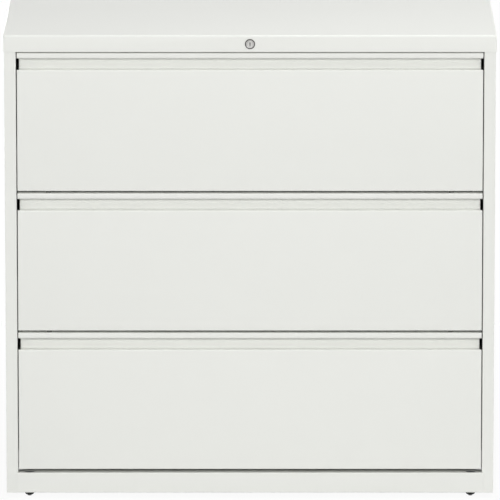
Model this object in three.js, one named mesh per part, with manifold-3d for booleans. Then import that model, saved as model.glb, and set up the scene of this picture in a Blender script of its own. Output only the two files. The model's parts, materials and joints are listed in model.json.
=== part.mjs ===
// A three-drawer lateral filing cabinet in folded sheet steel.
// Millimetres, +Z up, drawers open towards -Y, origin on the floor under the middle of the bounding box.

import * as THREE from "three";
import { mergeVertices } from "three/addons/utils/BufferGeometryUtils.js";
import Module from "manifold-3d";

const wasm = await Module();
wasm.setup();

// Overall
const WIDTH = 1066.8; // across the top cover
const DEPTH = 473; // front to back of the top cover
const HEIGHT = 1022.4; // floor to the top of the cover

// Sheet metal and fits
const CASE_SHEET = 1.2;
const BACK_SHEET = 1;
const DRAWER_SHEET = 1;
const FOLD_RADIUS = 1; // inside radius of a plain fold
const FIT_GAP = 0.3; // between pieces that are welded, screwed or seated together
const RUN_GAP = 0.5; // between pieces that slide past each other

// Top cover
const COVER_SKIRT = 36.8; // height of its rim
const COVER_EDGE = 4; // outside radius of its rolled edges
const COVER_OVERHANG = 1.9; // rim beyond the outside of the side panels

// Side panels, which fold into the front columns
const COLUMN_WIDTH = 25.4;
const COLUMN_RETURN = 12; // depth of the fold beside the drawers
const REAR_FLANGE = 20;

// Base rails, glides and counterweight
const BASE_LIFT = 8.4; // floor to the underside of the base
const BASE_HEIGHT = 44.7;
const BASE_FLANGE = 30;
const BASE_TUCK = 3.5; // reach of the front rail into each column
const REAR_BASE_FLANGE = 60;
const ACCESS_RADIUS = 11; // hole above a glide, for the screwdriver
const GLIDE_FROM_SIDE = 49.6;
const GLIDE_SETBACK = 13;
const REAR_GLIDE_SETBACK = 30;
const GLIDE_RADIUS = 10.3;
const GLIDE_FOOT_RADIUS = 4.5;
const GLIDE_RIM = 1.2;
const STUD_RADIUS = 4;
const STUD_LENGTH = 30;
const STUD_SLOT = 1.4; // width of the screwdriver slot
const STUD_SLOT_DEPTH = 2.5;
const WEIGHT_THICKNESS = 12;
const WEIGHT_MARGIN = 6;

// Drawers, from the top down
const DRAWERS = ["top", "middle", "bottom"];
const DRAWER_GAP = 4.8; // between two fronts
const COVER_GAP = 2.4; // between the cover and the top front
const BASE_GAP = 7.7; // between the base rail and the bottom front
const SIDE_GAP = 2; // between a front and a column
const PULL_STRIP = 12.5; // band above the finger recess
const PULL_OPENING = 25; // height of the finger recess
const PULL_DEPTH = 19.5;
const PULL_FILLET = 3; // inside radius at the back of the ledge
const FRONT_FOLD = 2; // inside radius of the front's visible folds
const BODY_LIFT = 10; // drawer bottom above the lower edge of its front
const BODY_HEIGHT = 240;
const BODY_DEPTH = 395;
const LINER_DROP = 1.5; // top of the inner front below the top of the front

// Hanging rails
const HANG_THICKNESS = 3;
const HANG_HEIGHT = 16;
const HANG_EAR = 6; // part of that height that rests on the drawer's sides
const HANG_EAR_REACH = 2;
const HANG_FROM_WALL = 10;

// Drawer slides, three nested members a side
const SLIDE_LENGTH = 400;
const SLIDE_HEIGHT = 46;
const SLIDE_WIDTH = 12.2;
const SLIDE_SHEET = 1.2;
const SLIDE_GAP = 0.6; // between two members
const SLIDE_FOLD = 0.5;
const CABINET_MEMBER_WIDTH = 9.5;
const SLIDE_LIP = 2.5;
const SLIDE_SETBACK = 36.5; // closed, the slides stand behind the lock bar
const SLIDE_LEVEL = 85; // middle of a slide above the lower edge of its front
const SLIDE_COLUMN_GAP = 1.4; // between the moving members and the column

// Uprights that carry the slides
const UPRIGHT_DEPTH = 30;
const UPRIGHT_REAR_SETBACK = 10; // rear upright from the back end of the slides
const UPRIGHT_SLOT_HEIGHT = 14;
const UPRIGHT_SLOT_WIDTH = 5;
const UPRIGHT_SLOT_PITCH = 50;

// Lock
const LOCK_DROP = 19.3; // lock axis below the top of the cover
const LOCK_PROUD = 1.6; // bezel in front of the cover
const BEZEL_RADIUS = 11;
const BARREL_RADIUS = 9.5;
const BARREL_LENGTH = 24; // behind the front of the case
const PLUG_RADIUS = 7;
const PLUG_INSET = 0.4; // plug face behind the bezel face
const KEYWAY_WIDTH = 2;
const KEYWAY_HEIGHT = 8;
const KEYWAY_DEPTH = 14;
const TAIL_SIZE = 5; // square tail of the plug
const CAM_THICKNESS = 3;
const CAM_HUB_RADIUS = 6;
const CAM_THROW = 7.5; // lock axis to the cam pin
const CAM_SWING = 90; // degrees, half of it each side of straight down
const PIN_RADIUS = 2;
const CAM_EYE = 1.8; // metal around the pin
const LINK_THICKNESS = 3;
const LINK_HEIGHT = 16;
const LINK_END_HEIGHT = 27;
const LINK_MARGIN = 3; // metal around a slot
const LOCK_BAR_WIDTH = 10;
const LOCK_BAR_THICKNESS = 3;
const LOCK_TAB_HEIGHT = 12;
const LOCK_TAB_TIP_GAP = 3; // tab tip to the drawer side
const CATCH_LEVEL = 190; // underside of a catch above the lower edge of its front
const CATCH_HEIGHT = 12;
const CATCH_THICKNESS = 3;
const CATCH_TIP_GAP = 3; // catch tip to the outside of the slides
const CATCH_GAP = 1; // catch behind the lock bar
const CATCH_LEEWAY = 2; // tab above the catch when unlocked

// Segments to a quarter turn of a fold, to a glide's dome and to a full circle
const FOLD_SEGMENTS = 4;
const DOME_SEGMENTS = 6;
const CIRCLE_SEGMENTS = 28;
const OVERSHOOT = 1; // how far a cutting tool reaches past what it cuts
const MERGE_DISTANCE = 1e-4; // corners closer than this are one corner

// Places that follow from the sizes above
const COVER_BOTTOM = HEIGHT - COVER_SKIRT;
const COVER_FRONT = (LOCK_PROUD - DEPTH) / 2;
const COVER_BACK = COVER_FRONT + DEPTH;
const CASE_FRONT = COVER_FRONT + CASE_SHEET + FIT_GAP;
const CASE_BACK = COVER_BACK - CASE_SHEET - FIT_GAP;
const CASE_TOP = HEIGHT - Math.max(COVER_EDGE, CASE_SHEET + FIT_GAP);
const SIDE_OUTER = WIDTH / 2 - COVER_OVERHANG;
const SIDE_INNER = SIDE_OUTER - CASE_SHEET;
const COLUMN_INNER = SIDE_OUTER - COLUMN_WIDTH;
const REAR_FLANGE_BACK = CASE_BACK - BACK_SHEET - FIT_GAP;
const REAR_FLANGE_FRONT = REAR_FLANGE_BACK - CASE_SHEET;
const BASE_TOP = BASE_LIFT + BASE_HEIGHT;
const GLIDE_X = SIDE_OUTER - GLIDE_FROM_SIDE;
const REAR_RAIL_BACK = REAR_FLANGE_FRONT - FIT_GAP;
const FRONT_GLIDE_Y = CASE_FRONT + GLIDE_SETBACK;
const REAR_GLIDE_Y = REAR_RAIL_BACK - REAR_GLIDE_SETBACK;

const FRONT_HALF = COLUMN_INNER - SIDE_GAP;
const FRONTS_TOTAL = COVER_BOTTOM - COVER_GAP - BASE_TOP - BASE_GAP - (DRAWERS.length - 1) * DRAWER_GAP;
const FRONT_HEIGHT = FRONTS_TOTAL / DRAWERS.length;
const FRONT_DEPTH = PULL_DEPTH + DRAWER_SHEET; // the recess wall lies against the inner front
const LEDGE_LEVEL = FRONT_HEIGHT - PULL_STRIP - PULL_OPENING;

const SLIDE_OUTER = COLUMN_INNER - SLIDE_COLUMN_GAP + SLIDE_GAP + SLIDE_SHEET;
const BODY_OUTER = SLIDE_OUTER - SLIDE_WIDTH - FIT_GAP;
const BODY_INNER = BODY_OUTER - DRAWER_SHEET;
const LINER_FRONT = FRONT_DEPTH + FIT_GAP;
const LINER_BACK = LINER_FRONT + DRAWER_SHEET;
const LINER_HALF = FRONT_HALF - DRAWER_SHEET - FIT_GAP;
const BODY_BACK = LINER_FRONT + BODY_DEPTH;
const BODY_TOP = BODY_LIFT + BODY_HEIGHT;
const UPRIGHT_FACE = SLIDE_OUTER + FIT_GAP;

const LOCK_Z = HEIGHT - LOCK_DROP;
const CAM_FRONT = CASE_FRONT + BARREL_LENGTH + RUN_GAP;
const LINK_FRONT = CAM_FRONT + CAM_THICKNESS + RUN_GAP;
const LOCK_BAR_FRONT = LINK_FRONT + LINK_THICKNESS + RUN_GAP;
const LOCK_BAR_BACK = LOCK_BAR_FRONT + LOCK_BAR_THICKNESS;
const LOCK_BAR_INNER = UPRIGHT_FACE + CASE_SHEET + RUN_GAP;
const HEADER_BOTTOM = COVER_BOTTOM + FIT_GAP;
const HEADER_FLANGE = LOCK_BAR_FRONT - CASE_FRONT;
const LINK_BOTTOM = HEADER_BOTTOM + CASE_SHEET + RUN_GAP;
const HALF_SWING = THREE.MathUtils.degToRad(CAM_SWING / 2);
const LOCK_TRAVEL = 2 * CAM_THROW * Math.sin(HALF_SWING);
const BAR_PIN_X = LOCK_BAR_INNER + LOCK_BAR_WIDTH / 2;
const BAR_PIN_Z = LINK_BOTTOM + (LINK_END_HEIGHT + LOCK_TRAVEL) / 2;
const FRONT_UPRIGHT_Y = LOCK_BAR_BACK + RUN_GAP;
const REAR_UPRIGHT_Y = CASE_FRONT + SLIDE_SETBACK + SLIDE_LENGTH - UPRIGHT_REAR_SETBACK - UPRIGHT_DEPTH;

// Finishes
const PAINT = { color: 0xe6e8e2, roughness: 0.5, metalness: 0 };
const ZINC = { color: 0xb4b8ba, roughness: 0.4, metalness: 0.9 };
const NICKEL = { color: 0xc4c2bc, roughness: 0.25, metalness: 1 };
const GLIDE_BLACK = { color: 0x202124, roughness: 0.45, metalness: 0 };
const IRON = { color: 0x4a4c4e, roughness: 0.75, metalness: 0.4 };

// The shape's own X and Y become these directions, and it is extruded along the third.
const DIRECTION = {
  X: new THREE.Matrix4().set(0, 0, 1, 0, 1, 0, 0, 0, 0, 1, 0, 0, 0, 0, 0, 1),
  Y: new THREE.Matrix4().set(1, 0, 0, 0, 0, 0, -1, 0, 0, 1, 0, 0, 0, 0, 0, 1),
  Z: new THREE.Matrix4(),
};

// Extrudes a shape between two places along an axis: (Y, Z) shapes along X, (X, Z) along Y, (X, Y) along Z.
function extrude(shape, axis, from, to, segments = FOLD_SEGMENTS) {
  const options = { depth: to - from, bevelEnabled: false, curveSegments: segments / 2 };
  const geometry = new THREE.ExtrudeGeometry(shape, options).applyMatrix4(DIRECTION[axis]);
  if (axis === "X") return geometry.translate(from, 0, 0);
  if (axis === "Y") return geometry.translate(0, to, 0);
  return geometry.translate(0, 0, from);
}

function box(x0, x1, y0, y1, z0, z1) {
  const geometry = new THREE.BoxGeometry(x1 - x0, y1 - y0, z1 - z0);
  return geometry.translate((x0 + x1) / 2, (y0 + y1) / 2, (z0 + z1) / 2);
}

// A straight round pin or drill along an axis, at a place across it.
function round(axis, radius, from, to, a, b) {
  const shape = new THREE.Shape().absarc(a, b, radius, 0, 2 * Math.PI, false);
  return extrude(shape, axis, from, to, CIRCLE_SEGMENTS);
}

// A slot with round ends, as a hole in a shape.
function slotHole(ax, ay, bx, by, radius) {
  const angle = Math.atan2(by - ay, bx - ax);
  const hole = new THREE.Path();
  hole.absarc(bx, by, radius, angle - Math.PI / 2, angle + Math.PI / 2, false);
  hole.absarc(ax, ay, radius, angle + Math.PI / 2, angle + 1.5 * Math.PI, false);
  return hole.closePath();
}

// The outline of a folded sheet whose one face follows the path [[x, y, inside fold radius], ...].
// A positive thickness lies to the left of the path, a negative one to its right.
function foldedSheet(path, thickness, radius = FOLD_RADIUS) {
  const points = path.map(([x, y]) => new THREE.Vector2(x, y));
  const runs = points.slice(1).map((point, i) => point.clone().sub(points[i]).normalize());
  const lefts = runs.map((run) => new THREE.Vector2(-run.y, run.x));
  const folds = lefts.slice(1).map((left, i) => {
    const side = Math.sign(runs[i].cross(runs[i + 1]));
    const inside = path[i + 1][2] ?? radius;
    const outside = inside + Math.abs(thickness);
    const near = side === Math.sign(thickness) ? outside : inside;
    const far = side === Math.sign(thickness) ? inside : outside;
    const tangent = near * Math.tan(runs[i].angleTo(runs[i + 1]) / 2);
    const begin = points[i + 1].clone().addScaledVector(runs[i], -tangent);
    const centre = begin.addScaledVector(lefts[i], side * near);
    const start = lefts[i].clone().multiplyScalar(-side).angle();
    const end = left.clone().multiplyScalar(-side).angle();
    return { centre, near, far, start, end, clockwise: side < 0 };
  });
  const last = points.length - 1;
  const farEnd = points[last].clone().addScaledVector(lefts[last - 1], thickness);
  const farStart = points[0].clone().addScaledVector(lefts[0], thickness);
  const shape = new THREE.Shape().moveTo(points[0].x, points[0].y);
  for (const fold of folds) {
    shape.absarc(fold.centre.x, fold.centre.y, fold.near, fold.start, fold.end, fold.clockwise);
  }
  shape.lineTo(points[last].x, points[last].y).lineTo(farEnd.x, farEnd.y);
  for (const fold of folds.reverse()) {
    shape.absarc(fold.centre.x, fold.centre.y, fold.far, fold.end, fold.start, !fold.clockwise);
  }
  return shape.lineTo(farStart.x, farStart.y).closePath();
}

function toSolid(geometry) {
  const bare = geometry.clone();
  bare.deleteAttribute("normal");
  bare.deleteAttribute("uv");
  const merged = mergeVertices(bare, MERGE_DISTANCE);
  return new wasm.Manifold(new wasm.Mesh({
    numProp: 3,
    vertProperties: new Float32Array(merged.getAttribute("position").array),
    triVerts: new Uint32Array(merged.getIndex().array),
  }));
}

function toGeometry(solid) {
  const mesh = solid.getMesh();
  const geometry = new THREE.BufferGeometry();
  geometry.setAttribute("position", new THREE.BufferAttribute(mesh.vertProperties, 3));
  geometry.setIndex(new THREE.BufferAttribute(mesh.triVerts, 1));
  geometry.computeVertexNormals();
  return geometry;
}

function cut(geometry, ...tools) {
  return toGeometry(wasm.Manifold.difference([geometry, ...tools].map(toSolid)));
}

function join(...geometries) {
  return toGeometry(wasm.Manifold.union(geometries.map(toSolid)));
}

function common(...geometries) {
  return toGeometry(wasm.Manifold.intersection(geometries.map(toSolid)));
}

function piece(name, geometry, finish) {
  const mesh = new THREE.Mesh(geometry, new THREE.MeshStandardMaterial(finish));
  mesh.name = name;
  return mesh;
}

// The lock's hole through a front wall.
function lockHole(from, to) {
  return round("Y", BARREL_RADIUS + FIT_GAP, from, to, 0, LOCK_Z);
}

// A block with rolled top edges, set in from the outside of the cover.
function coverBlock(inset, bottom) {
  const radius = Math.max(COVER_EDGE - inset, FIT_GAP);
  const top = HEIGHT - inset;
  const profile = (low, high) => new THREE.Shape().moveTo(low, bottom).lineTo(high, bottom)
    .absarc(high - radius, top - radius, radius, 0, Math.PI / 2, false)
    .absarc(low + radius, top - radius, radius, Math.PI / 2, Math.PI, false).closePath();
  const half = WIDTH / 2 - inset;
  const front = COVER_FRONT + inset;
  const back = COVER_BACK - inset;
  const seenFromFront = extrude(profile(-half, half), "Y", front, back);
  const seenFromSide = extrude(profile(front, back), "X", -half, half);
  return common(seenFromFront, seenFromSide);
}

function topCover() {
  const inside = coverBlock(CASE_SHEET, COVER_BOTTOM - OVERSHOOT);
  const hole = lockHole(COVER_FRONT - OVERSHOOT, COVER_FRONT + CASE_SHEET + OVERSHOOT);
  return piece("top_cover", cut(coverBlock(0, COVER_BOTTOM), inside, hole), PAINT);
}

// Right-hand side panel, with the column's foot cut back for the base rail.
function sidePanel(name) {
  const profile = foldedSheet([
    [COLUMN_INNER, CASE_FRONT + COLUMN_RETURN],
    [COLUMN_INNER, CASE_FRONT],
    [SIDE_OUTER, CASE_FRONT],
    [SIDE_OUTER, REAR_FLANGE_BACK],
    [SIDE_OUTER - REAR_FLANGE, REAR_FLANGE_BACK],
  ], CASE_SHEET);
  const foot = box(COLUMN_INNER - OVERSHOOT, COLUMN_INNER + BASE_TUCK, CASE_FRONT - OVERSHOOT,
    CASE_FRONT + COLUMN_RETURN + OVERSHOOT, BASE_LIFT - OVERSHOOT, BASE_TOP + FIT_GAP);
  return piece(name, cut(extrude(profile, "Z", BASE_LIFT, CASE_TOP), foot), PAINT);
}

// Right-hand channel with a row of slots for the slides' hooks.
function upright(name, front) {
  const back = front + UPRIGHT_DEPTH;
  const outer = SIDE_INNER - FIT_GAP;
  const profile = foldedSheet(
    [[outer, front], [UPRIGHT_FACE, front], [UPRIGHT_FACE, back], [outer, back]], -CASE_SHEET);
  const middle = (front + back) / 2;
  const highest = COVER_BOTTOM - UPRIGHT_SLOT_PITCH / 2;
  const slots = [];
  for (let z = BASE_TOP + UPRIGHT_SLOT_PITCH; z < highest; z += UPRIGHT_SLOT_PITCH) {
    slots.push(box(UPRIGHT_FACE - OVERSHOOT, UPRIGHT_FACE + CASE_SHEET + OVERSHOOT,
      middle - UPRIGHT_SLOT_WIDTH / 2, middle + UPRIGHT_SLOT_WIDTH / 2,
      z - UPRIGHT_SLOT_HEIGHT / 2, z + UPRIGHT_SLOT_HEIGHT / 2));
  }
  return piece(name, cut(extrude(profile, "Z", BASE_TOP, COVER_BOTTOM), ...slots), ZINC);
}

// The pieces of one side of the case, drawn for the right and mirrored for the left.
function caseSide(side) {
  const group = new THREE.Group();
  group.add(
    sidePanel(`${side}_side_panel`),
    upright(`${side}_front_upright`, FRONT_UPRIGHT_Y),
    upright(`${side}_rear_upright`, REAR_UPRIGHT_Y),
  );
  group.scale.x = side === "left" ? -1 : 1;
  return group;
}

// A channel across the case: an upright web, and two flanges that reach from it to their free edges.
function railChannel(half, web, edge, low, high) {
  const path = [[edge, low], [web, low], [web, high], [edge, high]];
  return extrude(foldedSheet(path, Math.sign(web - edge) * CASE_SHEET), "X", -half, half);
}

// Holes for a glide's stud in the lower flange and for the screwdriver in the upper one.
function glideHoles(y) {
  return [-GLIDE_X, GLIDE_X].flatMap((x) => [
    round("Z", STUD_RADIUS + FIT_GAP, BASE_LIFT - OVERSHOOT, BASE_LIFT + CASE_SHEET + OVERSHOOT, x, y),
    round("Z", ACCESS_RADIUS, BASE_TOP - CASE_SHEET - OVERSHOOT, BASE_TOP + OVERSHOOT, x, y),
  ]);
}

function baseFrontRail() {
  const half = COLUMN_INNER + BASE_TUCK - FIT_GAP;
  const back = CASE_FRONT + BASE_FLANGE;
  const channel = railChannel(half, CASE_FRONT, back, BASE_LIFT, BASE_TOP);
  return piece("base_front_rail", cut(channel, ...glideHoles(FRONT_GLIDE_Y)), PAINT);
}

function baseRearRail() {
  const half = SIDE_INNER - FIT_GAP;
  const front = REAR_RAIL_BACK - REAR_BASE_FLANGE;
  const channel = railChannel(half, REAR_RAIL_BACK, front, BASE_LIFT, BASE_TOP);
  return piece("base_rear_rail", cut(channel, ...glideHoles(REAR_GLIDE_Y)), PAINT);
}

// Channel behind the cover's front rim, which carries the lock and its link.
function headerRail() {
  const half = COLUMN_INNER - FIT_GAP;
  const channel = railChannel(half, CASE_FRONT, CASE_FRONT + HEADER_FLANGE, HEADER_BOTTOM, CASE_TOP);
  const hole = lockHole(CASE_FRONT - OVERSHOOT, CASE_FRONT + CASE_SHEET + OVERSHOOT);
  return piece("header_rail", cut(channel, hole), PAINT);
}

function backPanel() {
  const sheet = box(-SIDE_OUTER, SIDE_OUTER, CASE_BACK - BACK_SHEET, CASE_BACK, BASE_LIFT, CASE_TOP);
  return piece("back_panel", sheet, PAINT);
}

function counterweight() {
  const half = GLIDE_X - ACCESS_RADIUS - WEIGHT_MARGIN;
  const low = BASE_TOP + FIT_GAP;
  const front = REAR_RAIL_BACK - REAR_BASE_FLANGE;
  const bar = box(-half, half, front, REAR_RAIL_BACK - WEIGHT_MARGIN, low, low + WEIGHT_THICKNESS);
  return piece("counterweight", bar, IRON);
}

// A domed glide and its threaded stud, standing on the floor.
function glide(name, x, y) {
  const top = BASE_LIFT - FIT_GAP;
  const rise = top - GLIDE_RIM;
  const spread = GLIDE_RADIUS - GLIDE_FOOT_RADIUS;
  const dome = new THREE.EllipseCurve(GLIDE_FOOT_RADIUS, rise, spread, rise, -Math.PI / 2, 0);
  const profile = [
    new THREE.Vector2(0, 0),
    ...dome.getPoints(DOME_SEGMENTS),
    new THREE.Vector2(GLIDE_RADIUS, top),
    new THREE.Vector2(STUD_RADIUS, top),
    new THREE.Vector2(STUD_RADIUS, top + STUD_LENGTH),
    new THREE.Vector2(0, top + STUD_LENGTH),
  ];
  const turned = new THREE.LatheGeometry(profile, CIRCLE_SEGMENTS).rotateX(Math.PI / 2);
  const reach = STUD_RADIUS + OVERSHOOT;
  const slot = box(-reach, reach, -STUD_SLOT / 2, STUD_SLOT / 2,
    top + STUD_LENGTH - STUD_SLOT_DEPTH, top + STUD_LENGTH + OVERSHOOT);
  const mesh = piece(name, cut(turned, slot), GLIDE_BLACK);
  mesh.position.set(x, y, 0);
  return mesh;
}

// The lock is drawn about its own axis, with the front of the case at zero.
function lockHousing() {
  const face = COVER_FRONT - CASE_FRONT;
  const bore = PLUG_RADIUS + FIT_GAP;
  const profile = [
    [bore, face - LOCK_PROUD], [BEZEL_RADIUS, face - LOCK_PROUD], [BEZEL_RADIUS, face - FIT_GAP],
    [BARREL_RADIUS, face - FIT_GAP], [BARREL_RADIUS, BARREL_LENGTH], [bore, BARREL_LENGTH],
    [bore, face - LOCK_PROUD],
  ].map(([r, y]) => new THREE.Vector2(r, y));
  return piece("lock_housing", new THREE.LatheGeometry(profile, CIRCLE_SEGMENTS), NICKEL);
}

function lockPlug() {
  const face = COVER_FRONT - CASE_FRONT - LOCK_PROUD + PLUG_INSET;
  const camFront = CAM_FRONT - CASE_FRONT;
  const half = TAIL_SIZE / 2;
  const barrel = round("Y", PLUG_RADIUS, face, camFront - FIT_GAP, 0, 0);
  const tail = box(-half, half, 0, camFront + CAM_THICKNESS, -half, half);
  const keyway = box(-KEYWAY_WIDTH / 2, KEYWAY_WIDTH / 2, face - OVERSHOOT, face + KEYWAY_DEPTH,
    -KEYWAY_HEIGHT / 2, KEYWAY_HEIGHT / 2);
  return piece("lock_plug", cut(join(barrel, tail), keyway), NICKEL);
}

// The cam's pin starts half a swing to the right of straight down, and turns clockwise to lock.
function lockCam() {
  const front = CAM_FRONT - CASE_FRONT;
  const back = front + CAM_THICKNESS;
  const pinX = CAM_THROW * Math.sin(HALF_SWING);
  const pinZ = -CAM_THROW * Math.cos(HALF_SWING);
  const hub = round("Y", CAM_HUB_RADIUS, front, back, 0, 0);
  const eye = round("Y", PIN_RADIUS + CAM_EYE, front, back, pinX, pinZ);
  const pin = round("Y", PIN_RADIUS, front + OVERSHOOT, back + RUN_GAP + LINK_THICKNESS, pinX, pinZ);
  const half = TAIL_SIZE / 2 + FIT_GAP;
  const hole = box(-half, half, front - OVERSHOOT, back + OVERSHOOT, -half, half);
  return piece("lock_cam", cut(join(hub, eye, pin), hole), ZINC);
}

// Flat link on the header's lower flange: an upright slot for the cam pin, a sloping one for the lock bar.
function lockLink() {
  const slotRadius = PIN_RADIUS + RUN_GAP;
  const pinX = CAM_THROW * Math.sin(HALF_SWING);
  const left = pinX - slotRadius - LINK_MARGIN;
  const step = BAR_PIN_X - slotRadius - LINK_MARGIN;
  const right = BAR_PIN_X + LOCK_TRAVEL + slotRadius + LINK_MARGIN;
  const plate = new THREE.Shape().moveTo(left, LINK_BOTTOM).lineTo(right, LINK_BOTTOM)
    .lineTo(right, LINK_BOTTOM + LINK_END_HEIGHT).lineTo(step, LINK_BOTTOM + LINK_END_HEIGHT)
    .lineTo(step, LINK_BOTTOM + LINK_HEIGHT).lineTo(left, LINK_BOTTOM + LINK_HEIGHT).closePath();
  const low = LOCK_Z - CAM_THROW;
  const high = LOCK_Z - CAM_THROW * Math.cos(HALF_SWING);
  plate.holes.push(
    slotHole(pinX, low, pinX, high, slotRadius),
    slotHole(BAR_PIN_X, BAR_PIN_Z, BAR_PIN_X + LOCK_TRAVEL, BAR_PIN_Z - LOCK_TRAVEL, slotRadius),
  );
  const back = LINK_FRONT + LINK_THICKNESS;
  return piece("lock_link", extrude(plate, "Y", LINK_FRONT, back, CIRCLE_SEGMENTS / 2), ZINC);
}

// Upright bar in front of the right front upright, with one tab for each drawer.
function lockBar() {
  const tabLow = (drawer) => drawerBottom(drawer) + CATCH_LEVEL + CATCH_HEIGHT + CATCH_LEEWAY;
  const strip = box(LOCK_BAR_INNER, LOCK_BAR_INNER + LOCK_BAR_WIDTH, LOCK_BAR_FRONT, LOCK_BAR_BACK,
    tabLow(DRAWERS.length - 1), BAR_PIN_Z + PIN_RADIUS + LINK_MARGIN);
  const tabs = DRAWERS.map((_, i) => box(BODY_OUTER + LOCK_TAB_TIP_GAP, LOCK_BAR_INNER + OVERSHOOT,
    LOCK_BAR_FRONT, LOCK_BAR_BACK, tabLow(i), tabLow(i) + LOCK_TAB_HEIGHT));
  const pin = round("Y", PIN_RADIUS, LINK_FRONT, LOCK_BAR_FRONT + OVERSHOOT, BAR_PIN_X, BAR_PIN_Z);
  return piece("lock_bar", join(strip, ...tabs, pin), ZINC);
}

function lock() {
  const group = new THREE.Group();
  group.position.set(0, CASE_FRONT, LOCK_Z);
  group.add(lockHousing(), lockPlug(), lockCam());
  return group;
}

// Height of the lower edge of a drawer's front above the floor.
function drawerBottom(i) {
  return COVER_BOTTOM - COVER_GAP - FRONT_HEIGHT - i * (FRONT_HEIGHT + DRAWER_GAP);
}

// A drawer is drawn with the front of the case at Y zero and the lower edge of its front at Z zero.
function drawerFront(name) {
  const profile = foldedSheet([
    [FRONT_DEPTH, 0],
    [0, 0],
    [0, LEDGE_LEVEL],
    [PULL_DEPTH, LEDGE_LEVEL, PULL_FILLET],
    [PULL_DEPTH, LEDGE_LEVEL + PULL_OPENING],
    [0, LEDGE_LEVEL + PULL_OPENING],
    [0, FRONT_HEIGHT],
    [FRONT_DEPTH, FRONT_HEIGHT],
  ], -DRAWER_SHEET, FRONT_FOLD);
  const flange = (x) => box(x, x + DRAWER_SHEET, DRAWER_SHEET / 2, LINER_BACK,
    FRONT_FOLD + DRAWER_SHEET, LEDGE_LEVEL - FRONT_FOLD - DRAWER_SHEET);
  const sheet = extrude(profile, "X", -FRONT_HALF, FRONT_HALF);
  return piece(name, join(sheet, flange(-FRONT_HALF), flange(FRONT_HALF - DRAWER_SHEET)), PAINT);
}

// The drawer's bottom, folded up into a wider inner front that fits inside the front's side flanges.
function drawerTray(name) {
  const half = BODY_INNER - FIT_GAP;
  const top = FRONT_HEIGHT - LINER_DROP;
  const linerLow = BODY_LIFT + DRAWER_SHEET + FOLD_RADIUS;
  const path = [[LINER_FRONT, top], [LINER_FRONT, BODY_LIFT], [BODY_BACK, BODY_LIFT]];
  const sheet = extrude(foldedSheet(path, DRAWER_SHEET), "X", -half, half);
  const liner = box(-LINER_HALF, LINER_HALF, LINER_FRONT, LINER_BACK, linerLow, top);
  return piece(name, join(sheet, liner), PAINT);
}

function drawerBack(name) {
  const half = BODY_INNER - FIT_GAP;
  const front = BODY_BACK + FIT_GAP;
  return piece(name, box(-half, half, front, front + DRAWER_SHEET, BODY_LIFT, BODY_TOP), PAINT);
}

// A flat bar across the drawer, with an ear at each end over the top of the drawer's side.
function hangRail(name, front) {
  const low = BODY_TOP + FIT_GAP + HANG_EAR - HANG_HEIGHT;
  const ear = BODY_TOP + FIT_GAP;
  const half = BODY_INNER - FIT_GAP;
  const reach = BODY_OUTER + HANG_EAR_REACH;
  const top = ear + HANG_EAR;
  const shape = new THREE.Shape().moveTo(-half, low).lineTo(half, low).lineTo(half, ear).lineTo(reach, ear)
    .lineTo(reach, top).lineTo(-reach, top).lineTo(-reach, ear).lineTo(-half, ear).closePath();
  return piece(name, extrude(shape, "Y", front, front + HANG_THICKNESS), ZINC);
}

// Right-hand drawer side. The one next to the lock bar carries a catch.
function drawerSide(name, withCatch) {
  const sheet = box(BODY_INNER, BODY_OUTER, LINER_BACK + FIT_GAP, BODY_BACK + FIT_GAP + DRAWER_SHEET,
    BODY_LIFT, BODY_TOP);
  if (!withCatch) return piece(name, sheet, PAINT);
  const front = LOCK_BAR_BACK - CASE_FRONT + CATCH_GAP;
  const lug = box(BODY_INNER + DRAWER_SHEET / 2, SLIDE_OUTER - CATCH_TIP_GAP,
    front, front + CATCH_THICKNESS, CATCH_LEVEL, CATCH_LEVEL + CATCH_HEIGHT);
  return piece(name, join(sheet, lug), PAINT);
}

// Right-hand slide members: places are measured inwards from the slide's outer face and from its middle.
function slideMember(name, places, thickness) {
  const path = places.map(([inward, up]) => [SLIDE_OUTER - inward, SLIDE_LEVEL + up]);
  const shape = foldedSheet(path, thickness, SLIDE_FOLD);
  return piece(name, extrude(shape, "Y", SLIDE_SETBACK, SLIDE_SETBACK + SLIDE_LENGTH), ZINC);
}

// A channel with inturned lips, between an outer face and a mouth.
function lippedChannel(face, mouth, half) {
  return [[mouth, half - SLIDE_LIP], [mouth, half], [face, half],
    [face, -half], [mouth, -half], [mouth, SLIDE_LIP - half]];
}

function slideMembers(prefix) {
  const step = SLIDE_SHEET + SLIDE_GAP;
  const half = SLIDE_HEIGHT / 2;
  const neck = half - step - SLIDE_LIP - SLIDE_GAP;
  const lip = half - 2 * step;
  const lipFace = 2 * step + SLIDE_SHEET;
  const hat = [[lipFace, lip], [lipFace, neck], [SLIDE_WIDTH, neck],
    [SLIDE_WIDTH, -neck], [lipFace, -neck], [lipFace, -lip]];
  const outer = lippedChannel(0, CABINET_MEMBER_WIDTH, half);
  const middle = lippedChannel(step, CABINET_MEMBER_WIDTH - step, half - step);
  return [
    slideMember(`${prefix}_slide_cabinet_member`, outer, -SLIDE_SHEET),
    slideMember(`${prefix}_slide_middle_member`, middle, -SLIDE_SHEET),
    slideMember(`${prefix}_slide_drawer_member`, hat, SLIDE_SHEET),
  ];
}

// One side of a drawer with its slide, drawn for the right and mirrored for the left.
function drawerFlank(drawer, side) {
  const group = new THREE.Group();
  const prefix = `${drawer}_drawer_${side}`;
  group.add(drawerSide(`${prefix}_side`, side === "right"), ...slideMembers(prefix));
  group.scale.x = side === "left" ? -1 : 1;
  return group;
}

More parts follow.
